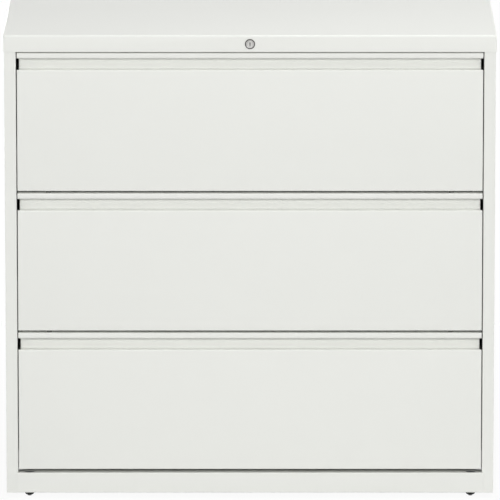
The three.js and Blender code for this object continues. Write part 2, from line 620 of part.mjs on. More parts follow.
function drawer(name, bottom) {
  const group = new THREE.Group();
  const frontRail = LINER_BACK + HANG_FROM_WALL;
  const rearRail = BODY_BACK + FIT_GAP - HANG_FROM_WALL - HANG_THICKNESS;
  group.position.set(0, CASE_FRONT, bottom);
  group.add(
    drawerFront(`${name}_drawer_front`),
    drawerTray(`${name}_drawer_tray`),
    drawerBack(`${name}_drawer_back`),
    hangRail(`${name}_drawer_front_hang_rail`, frontRail),
    hangRail(`${name}_drawer_rear_hang_rail`, rearRail),
    drawerFlank(name, "left"),
    drawerFlank(name, "right"),
  );
  return group;
}

const cabinet = new THREE.Group();
cabinet.name = "lateral_file_cabinet";
cabinet.add(
  topCover(), caseSide("left"), caseSide("right"), backPanel(),
  baseFrontRail(), baseRearRail(), headerRail(), counterweight(),
  lock(), lockLink(), lockBar(),
  glide("front_left_glide", -GLIDE_X, FRONT_GLIDE_Y), glide("front_right_glide", GLIDE_X, FRONT_GLIDE_Y),
  glide("rear_left_glide", -GLIDE_X, REAR_GLIDE_Y), glide("rear_right_glide", GLIDE_X, REAR_GLIDE_Y),
  ...DRAWERS.map((name, i) => drawer(name, drawerBottom(i))),
);

export default cabinet;
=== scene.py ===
"""Lateral filing cabinet: finishes, finer pieces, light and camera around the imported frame.

Metres, +Z up, drawers open towards -Y.
"""

import json
import logging
import math
from dataclasses import dataclass
from enum import Enum, IntEnum
from typing import Any, Callable, Sequence

import bmesh
import bpy
from mathutils import Matrix, Vector


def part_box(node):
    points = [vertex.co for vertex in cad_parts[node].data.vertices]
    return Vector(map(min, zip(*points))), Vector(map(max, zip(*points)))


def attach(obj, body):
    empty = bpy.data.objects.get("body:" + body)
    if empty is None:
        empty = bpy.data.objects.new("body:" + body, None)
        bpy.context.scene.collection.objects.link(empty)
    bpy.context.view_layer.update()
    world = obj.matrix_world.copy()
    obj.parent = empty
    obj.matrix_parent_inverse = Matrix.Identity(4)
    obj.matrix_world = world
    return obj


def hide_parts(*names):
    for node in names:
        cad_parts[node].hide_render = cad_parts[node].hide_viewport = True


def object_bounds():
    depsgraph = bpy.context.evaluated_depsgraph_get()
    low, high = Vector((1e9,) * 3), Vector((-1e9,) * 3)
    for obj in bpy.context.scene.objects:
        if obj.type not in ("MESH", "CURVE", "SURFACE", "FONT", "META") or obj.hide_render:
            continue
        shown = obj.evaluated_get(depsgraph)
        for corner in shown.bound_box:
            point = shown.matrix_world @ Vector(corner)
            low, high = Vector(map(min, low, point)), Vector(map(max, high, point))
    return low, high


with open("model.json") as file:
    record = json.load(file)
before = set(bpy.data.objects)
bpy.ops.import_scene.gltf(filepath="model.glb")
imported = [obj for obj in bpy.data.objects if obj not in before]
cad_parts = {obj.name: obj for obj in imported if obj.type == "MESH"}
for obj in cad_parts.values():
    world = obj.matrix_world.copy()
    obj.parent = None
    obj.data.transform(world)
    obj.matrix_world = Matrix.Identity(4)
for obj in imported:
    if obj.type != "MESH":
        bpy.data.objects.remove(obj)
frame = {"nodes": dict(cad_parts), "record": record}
CAD_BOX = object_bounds()

LOG = logging.getLogger("cabinet")
MM = 0.001
NEAR = 1e-6
FOLD_STEPS = 6
TURN_STEPS = 48
SMOOTH_LIMIT = math.radians(32)
QUARTER_TURN = math.pi / 2
FULL_TURN = 2 * math.pi

# The mean of a pattern that lies between 0 and 1.
MID_SIGNAL = 0.5

# A face looks in a direction if more than this much of its normal lies along it.
FACING = 0.5

WHITE = (1.0, 1.0, 1.0, 1.0)
OFF_WHITE = (0.806, 0.814, 0.776)
SIDES = (-1, 1)
DRAWERS = ("top", "middle", "bottom")

Triple = tuple[float, float, float]
Pair = tuple[float, float]


def box_middle(node: str) -> Vector:
    """The middle of a node's box."""
    lo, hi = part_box(node)
    return (lo + hi) / 2


LOCK_CENTRE = box_middle("lock_housing")


class Axis(IntEnum):
    """A direction of the frame."""

    X = 0
    Y = 1
    Z = 2

    @property
    def unit(self) -> Vector:
        """The direction as a unit vector."""
        return Vector([float(self == other) for other in Axis])

    @property
    def others(self) -> list["Axis"]:
        """The two directions across this one."""
        return [other for other in Axis if other is not self]


class Signal:
    """One output of a shader node. Arithmetic on signals adds Math nodes."""

    def __init__(self, board: "Board", socket: bpy.types.NodeSocket) -> None:
        """Keeps the socket and the board that it is on."""
        self.board = board
        self.socket = socket

    def combine(self, operation: str, left: Any, right: Any) -> "Signal":
        """Adds a Math node.

        Args:
            operation: the Math node's operation.
            left: its first value or signal.
            right: its second value or signal.

        Returns:
            The node's result.
        """
        return self.board.add("ShaderNodeMath", {"operation": operation}, {0: left, 1: right})

    def __add__(self, other: Any) -> "Signal":
        """self + other."""
        return self.combine("ADD", self, other)

    __radd__ = __add__

    def __sub__(self, other: Any) -> "Signal":
        """self - other."""
        return self.combine("SUBTRACT", self, other)

    def __rsub__(self, other: Any) -> "Signal":
        """other - self."""
        return self.combine("SUBTRACT", other, self)

    def __mul__(self, other: Any) -> "Signal":
        """self * other."""
        return self.combine("MULTIPLY", self, other)

    __rmul__ = __mul__

    def __pow__(self, other: Any) -> "Signal":
        """self ** other."""
        return self.combine("POWER", self, other)

    def __or__(self, other: Any) -> "Signal":
        """The larger of the two."""
        return self.combine("MAXIMUM", self, other)

    def about(self, mean: Any, swing: float) -> "Signal":
        """A value that swings about its mean with this signal."""
        return mean + (self - MID_SIGNAL) * swing


class MixSocket(IntEnum):
    """The colour sockets of a Mix node."""

    FACTOR = 0
    FIRST = 6
    SECOND = 7
    RESULT = 2


@dataclass(frozen=True)
class Noise:
    """A noise pattern: its grains to the metre and its finer layers."""

    scale: float
    detail: float = 2.0


class Board:
    """The node tree of one material or of the world."""

    def __init__(self, tree: bpy.types.NodeTree) -> None:
        """Empties the tree."""
        self.tree = tree
        tree.nodes.clear()

    def add(self, kind: str, settings: dict[str, Any] | None = None,
            inputs: dict[int | str, Any] | None = None, output: int | str = 0) -> Signal:
        """Adds a node.

        Args:
            kind: the node's type.
            settings: its properties, set first.
            inputs: values or signals for its sockets.
            output: the socket that is returned.

        Returns:
            The chosen output.
        """
        node = self.tree.nodes.new(kind)
        for name, value in (settings or {}).items():
            setattr(node, name, value)
        for name, value in (inputs or {}).items():
            if isinstance(value, Signal):
                self.tree.links.new(value.socket, node.inputs[name])
            else:
                node.inputs[name].default_value = value
        return Signal(self, node.outputs[output])

    def spot(self, scale: Triple = (1, 1, 1), shift: Triple = (0, 0, 0)) -> Signal:
        """The piece's own coordinates.

        Args:
            scale: how far they are stretched, after the shift.
            shift: what is added to them.

        Returns:
            The coordinates.
        """
        plain = self.add("ShaderNodeTexCoord", output="Object")
        moved = self.add("ShaderNodeVectorMath", {"operation": "ADD"}, {0: plain, 1: shift})
        return self.add("ShaderNodeVectorMath", {"operation": "MULTIPLY"}, {0: moved, 1: scale}, "Vector")

    def part(self, vector: Signal, axis: Axis) -> Signal:
        """One part of a vector."""
        return self.add("ShaderNodeSeparateXYZ", None, {"Vector": vector}, axis.name)

    def noise(self, spot: Signal, pattern: Noise) -> Signal:
        """Noise between 0 and 1."""
        values = {"Vector": spot, "Scale": pattern.scale, "Detail": pattern.detail}
        return self.add("ShaderNodeTexNoise", None, values)

    def ramp(self, value: Signal, start: float, end: float, low: float = 0.0) -> Signal:
        """Rises from low to 1 while a value goes from start to end."""
        values = {"Value": value, "From Min": start, "From Max": end, "To Min": low}
        return self.add("ShaderNodeMapRange", None, values)

    def blend(self, amount: Signal, first: Triple, second: Triple) -> Signal:
        """A colour between two."""
        values = {MixSocket.FACTOR: amount, MixSocket.FIRST: (*first, 1), MixSocket.SECOND: (*second, 1)}
        return self.add("ShaderNodeMix", {"data_type": "RGBA"}, values, MixSocket.RESULT)

    def relief(self, height: Signal, depth: float) -> Signal:
        """A bumped normal, with the relief's depth in metres."""
        return self.add("ShaderNodeBump", None, {"Height": height, "Distance": depth})

    def surface(self, inputs: dict[str, Any]) -> Signal:
        """A Principled shader."""
        return self.add("ShaderNodeBsdfPrincipled", None, inputs)

    def mix(self, factor: Signal, first: Signal, second: Signal) -> Signal:
        """A shader between two."""
        return self.add("ShaderNodeMixShader", None, {0: factor, 1: first, 2: second})

    def close(self, shader: Signal, kind: str = "ShaderNodeOutputMaterial") -> None:
        """Ends the tree in its output."""
        self.tree.links.new(shader.socket, self.tree.nodes.new(kind).inputs["Surface"])


@dataclass(frozen=True)
class Finish:
    """A surface finish, with its darkest and lightest tone as shares of its colour. Each kind draws its shader."""

    name: str
    colour: Triple
    roughness: float
    tones: Pair = (1.0, 1.0)

    def draw(self, board: Board) -> Signal:
        """Adds the finish's nodes.

        Args:
            board: the material's node tree.

        Returns:
            The finish's shader.
        """
        raise NotImplementedError

    def tint(self, board: Board, amount: Signal) -> Signal:
        """The finish's colour between its two tones.

        Args:
            board: the material's node tree.
            amount: 0 for the darkest tone, 1 for the lightest.

        Returns:
            The colour.
        """
        dark, light = [tuple(min(1.0, part * tone) for part in self.colour) for tone in self.tones]
        return board.blend(amount, dark, light)

    @property
    def material(self) -> bpy.types.Material:
        """The finish's material, made at its first use."""
        found = bpy.data.materials.get(self.name)
        if found is None:
            found = bpy.data.materials.new(self.name)
            found.use_nodes = True
            board = Board(found.node_tree)
            board.close(self.draw(board))
        return found


@dataclass(frozen=True)
class PowderCoat(Finish):
    """Baked powder paint: fine orange peel, faint clouds in the tone."""

    tones: Pair = (0.988, 1.012)
    peel: Noise = Noise(620.0)
    peel_depth: float = 0.06 * MM
    cloud: Noise = Noise(5.0, 3.0)
    cloud_share: float = 0.6
    grain: Noise = Noise(1900.0, 1.0)
    grain_share: float = 0.4
    grain_swing: float = 0.12

    def draw(self, board: Board) -> Signal:
        """Adds the paint's nodes.

        Args:
            board: the material's node tree.

        Returns:
            The paint's shader.
        """
        spot = board.spot()
        peel = board.noise(spot, self.peel)
        cloud = board.noise(spot, self.cloud)
        grain = board.noise(spot, self.grain)
        return board.surface({
            "Base Color": self.tint(board, cloud * self.cloud_share + grain * self.grain_share),
            "Roughness": grain.about(self.roughness, self.grain_swing),
            "Normal": board.relief(peel, self.peel_depth),
        })


class Grain(Enum):
    """The direction that a strip of steel was rolled in, as a stretch of its pattern."""

    ALONG_X = (3.0, 160.0, 160.0)
    ALONG_Y = (160.0, 3.0, 160.0)
    ALONG_Z = (160.0, 160.0, 3.0)


@dataclass(frozen=True)
class ZincPlate(Finish):
    """Bright zinc on rolled strip: drawn streaks, cloudy spangle, dull patches."""

    tones: Pair = (0.86, 1.12)
    rolled: Grain = Grain.ALONG_Y
    streak: Noise = Noise(9.0, 3.0)
    streak_share: float = 0.45
    streak_swing: float = 0.12
    streak_depth: float = 0.03 * MM
    spangle_scale: float = 130.0
    spangle_share: float = 0.2
    spangle_swing: float = 0.05
    patch: Noise = Noise(22.0, 3.0)
    patch_share: float = 0.35

    def draw(self, board: Board) -> Signal:
        """Adds the plating's nodes.

        Args:
            board: the material's node tree.

        Returns:
            The plating's shader.
        """
        spot = board.spot()
        streak = board.noise(board.spot(self.rolled.value), self.streak)
        cells = board.add("ShaderNodeTexVoronoi", None, {"Vector": spot, "Scale": self.spangle_scale}, "Color")
        spangle = board.add("ShaderNodeRGBToBW", None, {"Color": cells})
        patch = board.noise(spot, self.patch)
        tone = streak * self.streak_share + spangle * self.spangle_share + patch * self.patch_share
        return board.surface({
            "Base Color": self.tint(board, tone),
            "Metallic": 1.0,
            "Roughness": spangle.about(streak.about(self.roughness, self.streak_swing), self.spangle_swing),
            "Normal": board.relief(streak, self.streak_depth),
        })


@dataclass(frozen=True)
class TurnedNickel(Finish):
    """Nickel with the rings that turning leaves around an axis along Y."""

    tones: Pair = (0.8, 1.2)
    centre: Pair = (LOCK_CENTRE.x, LOCK_CENTRE.z)
    ring: Noise = Noise(5200.0)
    ring_share: float = 0.6
    ring_depth: float = 0.02 * MM
    smudge: Noise = Noise(420.0)
    smudge_share: float = 0.4
    smudge_swing: float = 0.2

    def draw(self, board: Board) -> Signal:
        """Adds the metal's nodes.

        Args:
            board: the material's node tree.

        Returns:
            The metal's shader.
        """
        across, up = self.centre
        spot = board.spot(shift=(-across, 0.0, -up))
        x, z = board.part(spot, Axis.X), board.part(spot, Axis.Z)
        radius = (x * x + z * z) ** 0.5
        values = {"W": radius, "Scale": self.ring.scale, "Detail": self.ring.detail}
        ring = board.add("ShaderNodeTexNoise", {"noise_dimensions": "1D"}, values)
        smudge = board.noise(spot, self.smudge)
        return board.surface({
            "Base Color": self.tint(board, ring * self.ring_share + smudge * self.smudge_share),
            "Metallic": 1.0,
            "Roughness": smudge.about(self.roughness, self.smudge_swing),
            "Normal": board.relief(ring, self.ring_depth),
        })


@dataclass(frozen=True)
class MouldedPlastic(Finish):
    """Moulded nylon or rubber with a fine spark-eroded grain and dusty patches."""

    tones: Pair = (0.65, 1.35)
    gloss: float = 0.5
    grain: Noise = Noise(1500.0)
    grain_depth: float = 0.08 * MM
    patch: Noise = Noise(160.0, 3.0)
    patch_swing: float = 0.2

    def draw(self, board: Board) -> Signal:
        """Adds the plastic's nodes.

        Args:
            board: the material's node tree.

        Returns:
            The plastic's shader.
        """
        spot = board.spot()
        grain = board.noise(spot, self.grain)
        patch = board.noise(spot, self.patch)
        return board.surface({
            "Base Color": self.tint(board, patch),
            "Roughness": patch.about(self.roughness, self.patch_swing),
            "Specular IOR Level": self.gloss,
            "Normal": board.relief(grain, self.grain_depth),
        })


@dataclass(frozen=True)
class MillScale(Finish):
    """Hot-rolled steel bar: blue-black scale with rusty freckles."""

    rust: Triple = (0.09, 0.04, 0.02)
    rust_bias: float = 1.6
    metallic: float = 0.55
    flake: Noise = Noise(90.0, 5.0)
    flake_swing: float = 0.3
    flake_depth: float = 0.2 * MM
    freckle: Noise = Noise(320.0, 3.0)

    def draw(self, board: Board) -> Signal:
        """Adds the scale's nodes.

        Args:
            board: the material's node tree.

        Returns:
            The scale's shader.
        """
        spot = board.spot()
        flake = board.noise(spot, self.flake)
        freckle = board.noise(spot, self.freckle)
        return board.surface({
            "Base Color": board.blend((flake * freckle) ** self.rust_bias, self.colour, self.rust),
            "Metallic": self.metallic,
            "Roughness": flake.about(self.roughness, self.flake_swing),
            "Normal": board.relief(flake, self.flake_depth),
        })


@dataclass(frozen=True)
class Corner:
    """A corner of an outline, with the radius that it is folded to."""

    u: float
    v: float
    radius: float = 0.0


class Form:
    """One mesh in the making, with the steps of a sheet-metal and turning shop."""

    def __init__(self) -> None:
        """Starts from nothing."""
        self.bm = bmesh.new()

    def block(self, lo: Vector, hi: Vector) -> list[bmesh.types.BMVert]:
        """Adds a box between two corners.

        Args:
            lo: lowest corner.
            hi: highest corner.

        Returns:
            The box's vertices.
        """
        stretch = Matrix.Diagonal((*(hi - lo), 1.0))
        matrix = Matrix.Translation((lo + hi) / 2) @ stretch
        return bmesh.ops.create_cube(self.bm, size=1.0, matrix=matrix)["verts"]

    def draw(self, outline: Sequence[Corner], run: Axis, start: float, end: float) -> None:
        """Draws an open outline out into a sheet and rounds its folds.

        Args:
            outline: corners across the sheet, in the two other axes' order.
            run: the axis that the sheet is drawn along.
            start: where it begins on that axis.
            end: where it ends.
        """
        first, second = run.others
        verts = []
        for corner in outline:
            spot = first.unit * corner.u + second.unit * corner.v + run.unit * start
            verts.append(self.bm.verts.new(spot))
        self.pull([self.bm.edges.new(pair) for pair in zip(verts, verts[1:])], run.unit * (end - start))
        folds = []
        for vert, corner in zip(verts, outline):
            for edge in vert.link_edges:
                if corner.radius > 0 and abs(edge.other_vert(vert).co[run] - start) > NEAR:
                    folds.append((edge, corner.radius))
        for edge, radius in folds:
            self.round_edges([edge], radius)

    def pull(self, edges: Sequence[bmesh.types.BMEdge], way: Vector) -> list[bmesh.types.BMVert]:
        """Draws edges out into new faces.

        Args:
            edges: the edges to start from.
            way: how far the new edges lie from them.

        Returns:
            The new vertices.
        """
        drawn = bmesh.ops.extrude_edge_only(self.bm, edges=list(edges))["geom"]
        moved = [item for item in drawn if isinstance(item, bmesh.types.BMVert)]
        bmesh.ops.translate(self.bm, verts=moved, vec=way)
        return moved

    def round_edges(self, edges: Sequence[bmesh.types.BMEdge], radius: float, steps: int = FOLD_STEPS) -> None:
        """Rounds edges to a radius."""
        bmesh.ops.bevel(self.bm, geom=list(edges), offset=radius, offset_type="OFFSET", segments=steps,
                        profile=0.5, affect="EDGES", material=-1, clamp_overlap=False)

    def edges(self, test: Callable[[Vector, Vector], bool]) -> list[bmesh.types.BMEdge]:
        """The edges whose two ends pass a test."""
        return [edge for edge in self.bm.edges if test(edge.verts[0].co, edge.verts[1].co)]

    def turn(self, outline: Sequence[Pair], centre: Vector, axis: Axis, steps: int = TURN_STEPS) -> None:
        """Turns an outline about an axis.

        Args:
            outline: (radius, distance along the axis) pairs.
            centre: a point on the axis.
            axis: its direction.
            steps: facets to a full turn.
        """
        side = Axis((axis + 1) % len(Axis)).unit
        verts = [self.bm.verts.new(centre + side * radius + axis.unit * along) for radius, along in outline]
        edges = [self.bm.edges.new(pair) for pair in zip(verts, verts[1:])]
        bmesh.ops.spin(self.bm, geom=verts + edges, cent=centre, axis=axis.unit, angle=FULL_TURN, steps=steps,
                       use_merge=True)
        bmesh.ops.remove_doubles(self.bm, verts=self.bm.verts[:], dist=NEAR)
        bmesh.ops.recalc_face_normals(self.bm, faces=self.bm.faces[:])

    def face_at(self, spot: Vector, axis: Axis) -> bmesh.types.BMFace:
        """Finds the flat face across an axis that holds a point.

        Args:
            spot: the point.
            axis: the axis that the face lies across.

        Returns:
            The face.
        """
        for face in self.bm.faces:
            corners = [vert.co for vert in face.verts]
            if any(abs(corner[axis] - spot[axis]) > NEAR for corner in corners):
                continue
            reach = [[corner[span] for corner in corners] for span in axis.others]
            if all(min(part) < spot[span] < max(part) for part, span in zip(reach, axis.others)):
                return face
        raise ValueError(f"no flat face at {spot}")

    def part_off(self, centre: Vector, axis: Axis, reach: Pair) -> bmesh.types.BMFace:
        """Cuts a rectangle free in a flat face.

        Args:
            centre: the rectangle's centre, on the face.
            axis: the direction through the face.
            reach: half of the rectangle's size along the two other axes.

        Returns:
            The rectangle.
        """
        for span, half in zip(axis.others, reach):
            for side in SIDES:
                face = self.face_at(centre, axis)
                geom = [face, *face.edges, *face.verts]
                bmesh.ops.bisect_plane(self.bm, geom=geom, dist=NEAR,
                                       plane_co=centre + span.unit * side * half, plane_no=span.unit)
        return self.face_at(centre, axis)

    def punch(self, centre: Vector, radius: float, axis: Axis, reach: float) -> None:
        """Cuts a round hole in a flat face of a sheet.

        Args:
            centre: the hole's centre, on the face.
            radius: the hole's radius.
            axis: the direction through the sheet.
            reach: half of the square around the hole that is meshed anew.
        """
        face = self.part_off(centre, axis, (reach, reach))
        square = face.edges[:]
        bmesh.ops.delete(self.bm, geom=[face], context="FACES_ONLY")
        bmesh.ops.subdivide_edges(self.bm, edges=square, cuts=TURN_STEPS // len(square) - 1)
        rim = [edge for edge in self.bm.edges if edge.is_boundary and all(
            max(map(abs, vert.co - centre)) < reach + NEAR for vert in edge.verts)]
        for vert in self.pull(rim, Vector()):
            vert.co = centre + (vert.co - centre).normalized() * radius

    def thicken(self, thickness: float, facing: Vector) -> None:
        """Gives a sheet its thickness behind its visible side.

        Args:
            thickness: the sheet's thickness.
            facing: the direction that its widest face looks in.
        """
        bmesh.ops.recalc_face_normals(self.bm, faces=self.bm.faces[:])
        widest = max(self.bm.faces, key=lambda face: face.calc_area())
        if widest.normal.dot(facing) < 0:
            bmesh.ops.reverse_faces(self.bm, faces=self.bm.faces[:])
        self.bm.normal_update()
        bmesh.ops.solidify(self.bm, geom=self.bm.faces[:], thickness=thickness)

    def release(self, name: str) -> bpy.types.Object:
        """Ends the making and links the mesh to the scene.

        Args:
            name: the object's name.

        Returns:
            The object.
        """
        mesh = bpy.data.meshes.new(name)
        self.bm.to_mesh(mesh)
        self.bm.free()
        made = bpy.data.objects.new(name, mesh)
        bpy.context.scene.collection.objects.link(made)
        return made

    def place(self, name: str, body: str, slot: str, finishes: Sequence[Finish],
              replaces: Sequence[str] = ()) -> None:
        """Makes the finished piece and ties it to the frame.

        Args:
            name: the piece's name.
            body: the body it rides on.
            slot: the record's material slot; not used.
            finishes: its finishes, in the order of its faces' numbers.
            replaces: the nodes that it stands for.
        """
        self.bm.normal_update()
        for face in self.bm.faces:
            face.smooth = True
        for edge in self.bm.edges:
            edge.smooth = edge.is_manifold and edge.calc_face_angle(0.0) < SMOOTH_LIMIT
        piece = self.release(name)
        for finish in finishes:
            piece.data.materials.append(finish.material)
        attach(piece, body)
        if replaces:
            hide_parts(*replaces)
        LOG.info("%s: %d faces on %s", name, len(piece.data.polygons), body)


@dataclass(frozen=True)
class Palette:
    """Every finish of the cabinet."""

    case_paint: Finish = PowderCoat("case_paint_coat", OFF_WHITE, 0.42)
    drawer_paint: Finish = PowderCoat("drawer_paint_coat", OFF_WHITE, 0.42)
    zinc_upright: Finish = ZincPlate("zinc_upright", (0.44, 0.45, 0.46), 0.36, rolled=Grain.ALONG_Z)
    zinc_slide: Finish = ZincPlate("zinc_slide", (0.44, 0.45, 0.465), 0.34, rolled=Grain.ALONG_Y)
    zinc_rail: Finish = ZincPlate("zinc_rail", (0.44, 0.45, 0.46), 0.34, rolled=Grain.ALONG_X)
    nickel: Finish = TurnedNickel("nickel_face", (0.54, 0.535, 0.52), 0.32)
    # Nickel darkened to paint the shadow ring around the lock and the shade inside its keyway.
    painted_shade_nickel: Finish = TurnedNickel("nickel_painted_shade", (0.07, 0.069, 0.065), 0.3)
    nylon: Finish = MouldedPlastic("glide_cup_nylon", (0.006, 0.006, 0.006), 0.5, gloss=0.2)
    foot: Finish = MouldedPlastic("glide_foot_nylon", (0.2, 0.2, 0.2), 0.45, tones=(0.88, 1.12))
    rubber: Finish = MouldedPlastic("bumper_rubber", (0.09, 0.09, 0.084), 0.75)
    iron: Finish = MillScale("weight_scale", (0.035, 0.035, 0.04), 0.55)

    def for_node(self, node: str, slot: str) -> Finish:
        """Chooses the finish of a solid that the frame shows as it is.

        Args:
            node: the solid's name.
            slot: the record's material slot.

        Returns:
            Its finish.
        """
        zinc = self.zinc_rail if "hang_rail" in node or node == "lock_link" else self.zinc_slide
        if "upright" in node or node == "lock_bar":
            zinc = self.zinc_upright
        by_slot = {"case_paint": self.case_paint, "drawer_paint": self.drawer_paint, "zinc": zinc,
                   "nickel": self.nickel, "glide_nylon": self.nylon, "weight_iron": self.iron}
        return by_slot[slot]

    def dress_frame(self) -> None:
        """Gives each solid of the frame its finish."""
        for row in frame["record"]["subparts"]:
            for slot in frame["nodes"][row["node"]].material_slots:
                slot.material = self.for_node(row["node"], row["material_slot"]).material


@dataclass
class TopCover:
    """The cover: a tray of sheet steel, open below, with a rim and rolled edges."""

    palette: Palette
    sheet: float = 1.2 * MM
    edge: float = 4 * MM
    lock_hole: float = 9.9 * MM
    hole_reach: float = 13 * MM

    def build(self) -> None:
        """Builds the cover with the lock's hole in its rim."""
        lo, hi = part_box("top_cover")
        form = Form()
        form.block(lo, hi)
        floor = [face for face in form.bm.faces if face.normal.z < -FACING]
        bmesh.ops.delete(form.bm, geom=floor, context="FACES")
        form.round_edges(form.edges(lambda a, b: max(a.z, b.z) > hi.z - NEAR), self.edge)
        hole = Vector((LOCK_CENTRE.x, lo.y, LOCK_CENTRE.z))
        form.punch(hole, self.lock_hole, Axis.Y, self.hole_reach)
        form.thicken(self.sheet, Axis.Z.unit)
        form.place("top_cover_shell", "case", "case_paint", [self.palette.case_paint], ["top_cover"])


@dataclass
class DrawerFront:
    """A drawer's front: a strip, a finger recess and a plain face, folded from one sheet."""

    palette: Palette
    drawer: str
    sheet: float = 1 * MM
    strip: float = 12.5 * MM
    opening: float = 25 * MM
    recess: float = 19.5 * MM
    flange: float = 20.5 * MM
    fold: float = 3 * MM
    fillet: float = 3 * MM
    inner_fold: float = 2 * MM
    side_fold: float = 1.2 * MM
    side_steps: int = 4
    notch: float = 4.4 * MM
    bumper_x: float = 437 * MM
    bumper_size: Triple = (11 * MM, 8 * MM, 2.4 * MM)
    bumper_setback: float = 11 * MM
    bumper_round: float = 1 * MM
    bumper_steps: int = 3

    def build(self) -> None:
        """Builds the front with its recess cut back at both ends, and its bumpers below another drawer."""
        node = f"{self.drawer}_drawer_front"
        lo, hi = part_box(node)
        top = hi.z - self.strip
        ledge = top - self.opening
        back = lo.y + self.recess
        outline = [
            Corner(lo.y + self.flange, lo.z),
            Corner(lo.y, lo.z, self.fold),
            Corner(lo.y, ledge, self.fold),
            Corner(back, ledge, self.fillet),
            Corner(back, top, self.inner_fold),
            Corner(lo.y, top, self.fold),
            Corner(lo.y, hi.z, self.fold),
            Corner(lo.y + self.flange, hi.z),
        ]
        form = Form()
        form.draw(outline, Axis.X, lo.x, hi.x)
        for side, end in zip(SIDES, (lo.x, hi.x)):
            ends = [vert for vert in form.bm.verts if abs(vert.co.x - end) < NEAR
                    and vert.co.y > lo.y + self.fold / 2 and ledge - NEAR < vert.co.z < top + NEAR]
            bmesh.ops.translate(form.bm, verts=ends, vec=Axis.X.unit * -side * self.notch)
        self.turn_sides(form, lo, hi, ledge)
        form.thicken(self.sheet, -Axis.Y.unit)
        form.place(f"{self.drawer}_drawer_face", f"{self.drawer}_drawer", "drawer_paint",
                   [self.palette.drawer_paint], [node])
        if self.drawer != DRAWERS[0]:
            self.add_bumpers(lo, hi)

    def turn_sides(self, form: Form, lo: Vector, hi: Vector, ledge: float) -> None:
        """Folds the face's two upright edges back.

        Args:
            form: the front in the making.
            lo: the front's lowest corner.
            hi: its highest corner.
            ledge: the level of the recess's floor.
        """
        for end in (lo.x, hi.x):
            edges = form.edges(lambda a, b: all(
                abs(p.x - end) < NEAR and abs(p.y - lo.y) < NEAR and p.z < ledge for p in (a, b)))
            form.pull(edges, Axis.Y.unit * (hi.y - lo.y))
            form.round_edges(edges, self.side_fold, self.side_steps)

    def add_bumpers(self, lo: Vector, hi: Vector) -> None:
        """Sets two rubber bumpers on the front's upper flange.

        Args:
            lo: the front's lowest corner.
            hi: its highest corner.
        """
        form = Form()
        size = Vector(self.bumper_size)
        for side in SIDES:
            corner = Vector((side * self.bumper_x - size.x / 2, lo.y + self.bumper_setback, hi.z))
            form.block(corner, corner + size)
        upper = form.edges(lambda a, b: max(a.z, b.z) > hi.z + size.z / 2)
        form.round_edges(upper, self.bumper_round, self.bumper_steps)
        form.place(f"{self.drawer}_drawer_bumpers", f"{self.drawer}_drawer", "glide_nylon", [self.palette.rubber])


@dataclass
class DrawerTray:
    """A drawer's bottom, folded up into an inner front that is cut away behind the ends of the recess."""

    palette: Palette
    drawer: str
    sheet: float = 1 * MM
    fold: float = 2 * MM
    fit: float = 0.3 * MM
    foot: float = 2.5 * MM
    cut: float = 39 * MM
    notch: float = 4 * MM

    def build(self) -> None:
        """Builds the bottom between the drawer's sides and the wider inner front."""
        node = f"{self.drawer}_drawer_tray"
        lo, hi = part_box(node)
        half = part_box(f"{self.drawer}_drawer_right_side")[0].x - self.fit
        foot = lo.z + self.foot
        cut = hi.z - self.cut
        form = Form()
        form.draw([Corner(hi.y, lo.z), Corner(lo.y, lo.z, self.fold), Corner(lo.y, hi.z)], Axis.X, -half, half)
        for level in (foot, cut):
            geom = [*form.bm.verts, *form.bm.edges, *form.bm.faces]
            bmesh.ops.bisect_plane(form.bm, geom=geom, dist=NEAR, plane_co=Axis.Z.unit * level,
                                   plane_no=Axis.Z.unit)
        inner = hi.x - self.notch
        for side in SIDES:
            for start, end, top in ((half, inner, hi.z), (inner, hi.x, cut)):
                edges = form.edges(lambda a, b: all(
                    abs(p.x - side * start) < NEAR and foot - NEAR < p.z < top + NEAR for p in (a, b)))
                form.pull(edges, Axis.X.unit * side * (end - start))
        form.thicken(self.sheet, -Axis.Z.unit)
        form.place(f"{self.drawer}_drawer_tray_sheet", f"{self.drawer}_drawer", "drawer_paint",
                   [self.palette.drawer_paint], [node])


